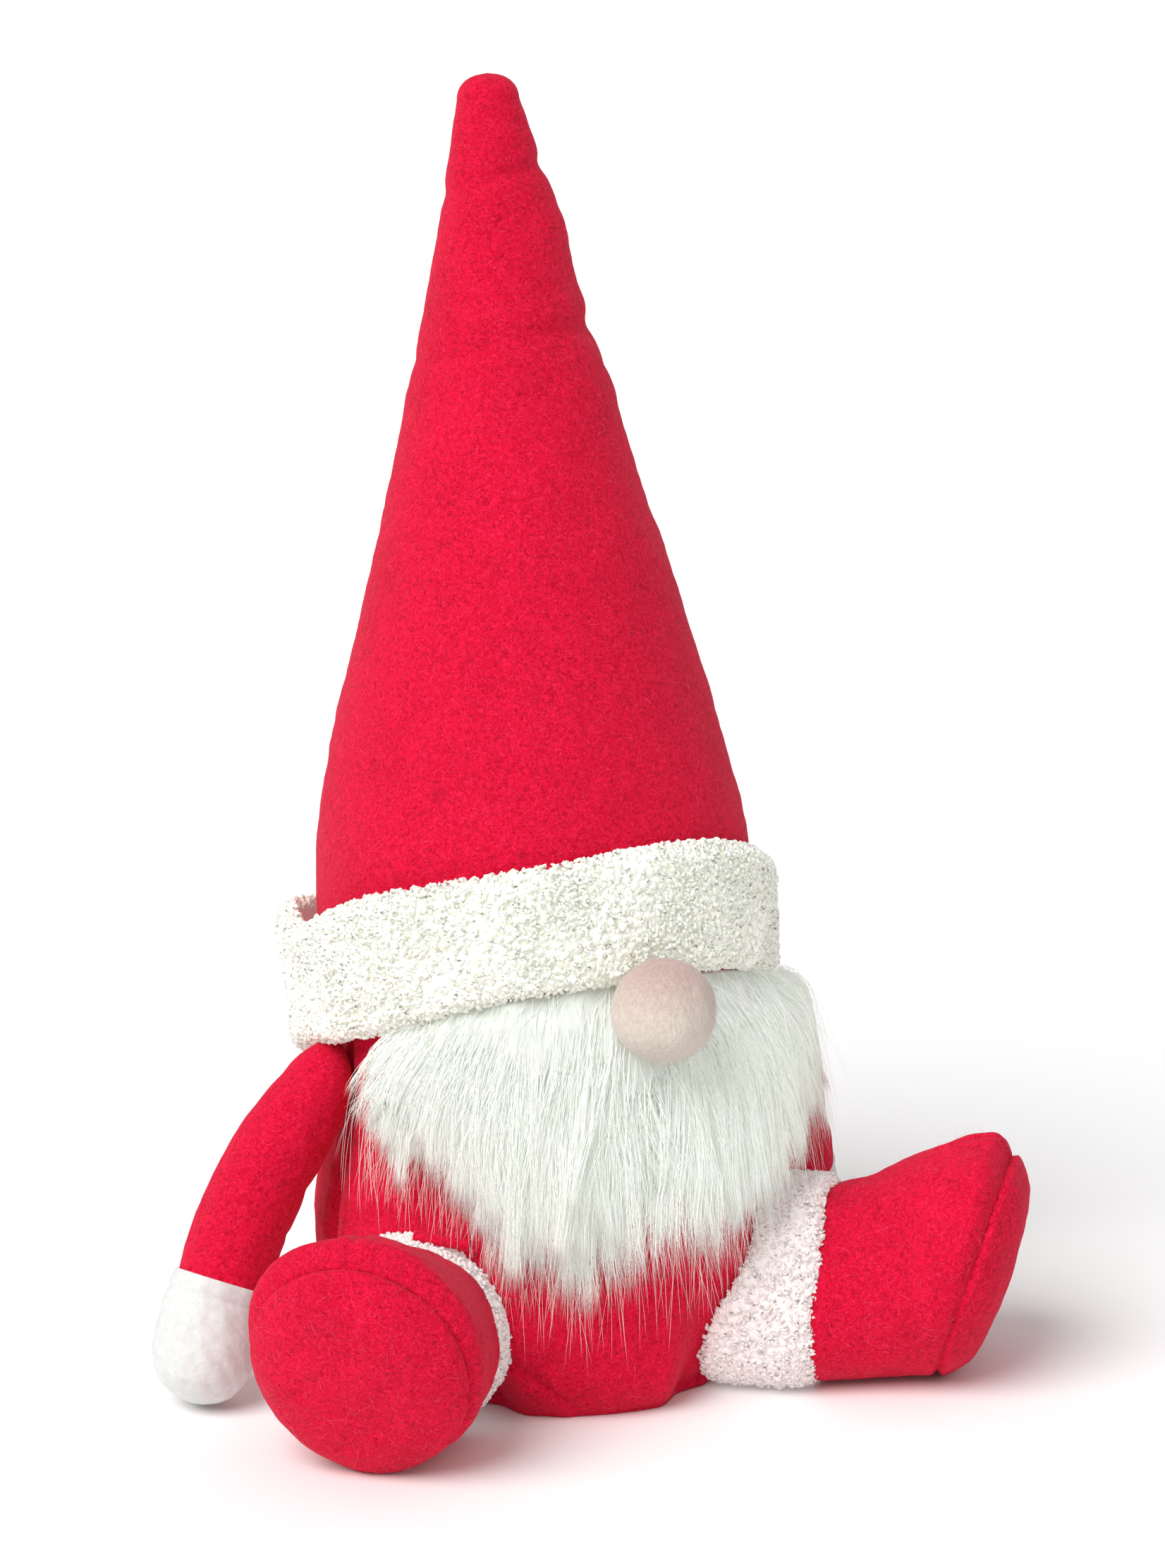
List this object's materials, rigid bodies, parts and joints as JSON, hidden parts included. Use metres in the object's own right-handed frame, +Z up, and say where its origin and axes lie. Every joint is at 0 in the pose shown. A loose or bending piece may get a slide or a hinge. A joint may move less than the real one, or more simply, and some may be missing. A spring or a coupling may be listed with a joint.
{
  "type": "tomte gnome figurine",
  "caption": "Seated stuffed felt gnome with a tall cone hat, teddy hat band and leg cuffs, ball nose, long-pile beard, hanging arms with mittens and splayed legs in round boots.",
  "frame": {"origin": "centre of the base panel, on the surface the figure sits on", "axes": "+Z up, -Y the way the figure faces, -X its right hand side"},
  "size_m": [0.3023, 0.2288, 0.4556],
  "materials": {
    "red_felt": "napped wool felt",
    "teddy_cloth": "curly pile",
    "beard_fur": "long soft pile",
    "nose_wool": "felted wool",
    "white_velour": "short smooth pile",
    "stuffing": "polyester fibre",
    "bag_cotton": "plain woven",
    "pellets": "matt"
  },
  "bodies": {
    "torso": {"base_panel": "red_felt", "body_front_panel": "red_felt", "body_back_panel": "red_felt", "body_filling": "stuffing", "weight_bag": "bag_cotton", "weight_pellets": "pellets", "hat_cone": "red_felt", "hat_filling": "stuffing", "hat_brim": "teddy_cloth", "beard": "beard_fur", "nose_cover": "nose_wool", "nose_filling": "stuffing"},
    "right_arm_tab": {"right_arm_seam_tab": "red_felt"},
    "right_arm": {"right_sleeve": "red_felt", "right_mitten": "white_velour", "right_arm_filling": "stuffing"},
    "right_hip_roll": {"right_hip_seam_roll": "red_felt"},
    "right_leg": {"right_thigh": "red_felt", "right_leg_cuff": "teddy_cloth", "right_boot_upper": "red_felt", "right_boot_sole": "red_felt", "right_leg_filling": "stuffing"},
    "left_arm_tab": {"left_arm_seam_tab": "red_felt"},
    "left_arm": {"left_sleeve": "red_felt", "left_mitten": "white_velour", "left_arm_filling": "stuffing"},
    "left_hip_roll": {"left_hip_seam_roll": "red_felt"},
    "left_leg": {"left_thigh": "red_felt", "left_leg_cuff": "teddy_cloth", "left_boot_upper": "red_felt", "left_boot_sole": "red_felt", "left_leg_filling": "stuffing"}
  },
  "joints": [
    {"name": "right_arm_swing", "type": "hinge", "parent": "torso", "child": "right_arm_tab", "pos_m": [-0.0892, 0.015, 0.105], "axis": [1, 0, 0], "range_deg": [-8, 35], "stiffness_Nm_per_rad": 0.06},
    {"name": "right_arm_lift", "type": "hinge", "parent": "right_arm_tab", "child": "right_arm", "pos_m": [-0.0892, 0.015, 0.105], "axis": [0, 1, 0], "range_deg": [0, 60], "stiffness_Nm_per_rad": 0.06},
    {"name": "right_leg_splay", "type": "hinge", "parent": "torso", "child": "right_hip_roll", "pos_m": [-0.07065, -0.05247, 0.067], "axis": [0, 0, -1], "range_deg": [-3, 3], "stiffness_Nm_per_rad": 0.2},
    {"name": "right_leg_lift", "type": "hinge", "parent": "right_hip_roll", "child": "right_leg", "pos_m": [-0.07065, -0.05247, 0.067], "axis": [-0.5962, 0.8028, 0], "range_deg": [0, 35], "stiffness_Nm_per_rad": 0.2},
    {"name": "left_arm_swing", "type": "hinge", "parent": "torso", "child": "left_arm_tab", "pos_m": [0.0892, 0.015, 0.105], "axis": [1, 0, 0], "range_deg": [0, 25], "stiffness_Nm_per_rad": 0.06},
    {"name": "left_arm_lift", "type": "hinge", "parent": "left_arm_tab", "child": "left_arm", "pos_m": [0.0892, 0.015, 0.105], "axis": [0, -1, 0], "range_deg": [0, 60], "stiffness_Nm_per_rad": 0.06},
    {"name": "left_leg_splay", "type": "hinge", "parent": "torso", "child": "left_hip_roll", "pos_m": [0.07065, -0.05247, 0.067], "axis": [0, 0, 1], "range_deg": [-3, 3], "stiffness_Nm_per_rad": 0.2},
    {"name": "left_leg_lift", "type": "hinge", "parent": "left_hip_roll", "child": "left_leg", "pos_m": [0.07065, -0.05247, 0.067], "axis": [-0.5962, -0.8028, 0], "range_deg": [0, 35], "stiffness_Nm_per_rad": 0.2}
  ]
}
